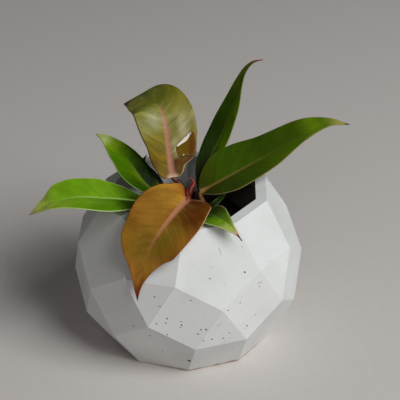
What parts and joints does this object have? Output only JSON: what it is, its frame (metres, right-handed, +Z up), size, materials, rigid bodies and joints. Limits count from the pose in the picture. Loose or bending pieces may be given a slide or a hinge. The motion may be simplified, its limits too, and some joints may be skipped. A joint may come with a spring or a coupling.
{
  "type": "potted philodendron plant",
  "caption": "Young prince of orange philodendron, its leaves orange, olive and green round a red new leaf, in a faceted pale concrete pot.",
  "frame": {"origin": "centre of the pot's flat base, on the surface it stands on", "axes": "+Z up, +X towards the tip of the long green leaf, -Y towards the pot's front pentagon"},
  "size_m": [0.1668, 0.1202, 0.1422],
  "materials": {
    "concrete": "matte cast concrete with pinholes",
    "potting_mix": "dark, loose and matte",
    "stem_skin": "satin brown plant skin",
    "leaf_orange": "satin leaf, golden orange brown",
    "leaf_olive": "glossy leaf, olive with a pale sheen",
    "leaf_dark_green": "satin leaf, dark green",
    "leaf_deep_green": "satin leaf, very dark green",
    "leaf_green": "satin leaf, green",
    "leaf_bright_green": "satin leaf, bright green",
    "leaf_mid_green": "satin leaf, green with a red tip",
    "leaf_dark_olive": "satin leaf, dark olive brown",
    "new_leaf_red": "satin furled leaf, brick red"
  },
  "bodies": {
    "root": {"pot": "concrete", "soil": "potting_mix", "stem": "stem_skin", "leaf_orange_front": "leaf_orange", "leaf_olive_back": "leaf_olive", "leaf_long_right": "leaf_dark_green", "leaf_upright_right": "leaf_deep_green", "leaf_upper_left": "leaf_green", "leaf_lower_left": "leaf_bright_green", "leaf_small_front": "leaf_mid_green", "leaf_slim_front": "leaf_dark_green", "leaf_slim_back": "leaf_dark_olive", "new_leaf": "new_leaf_red"}
  },
  "joints": []
}
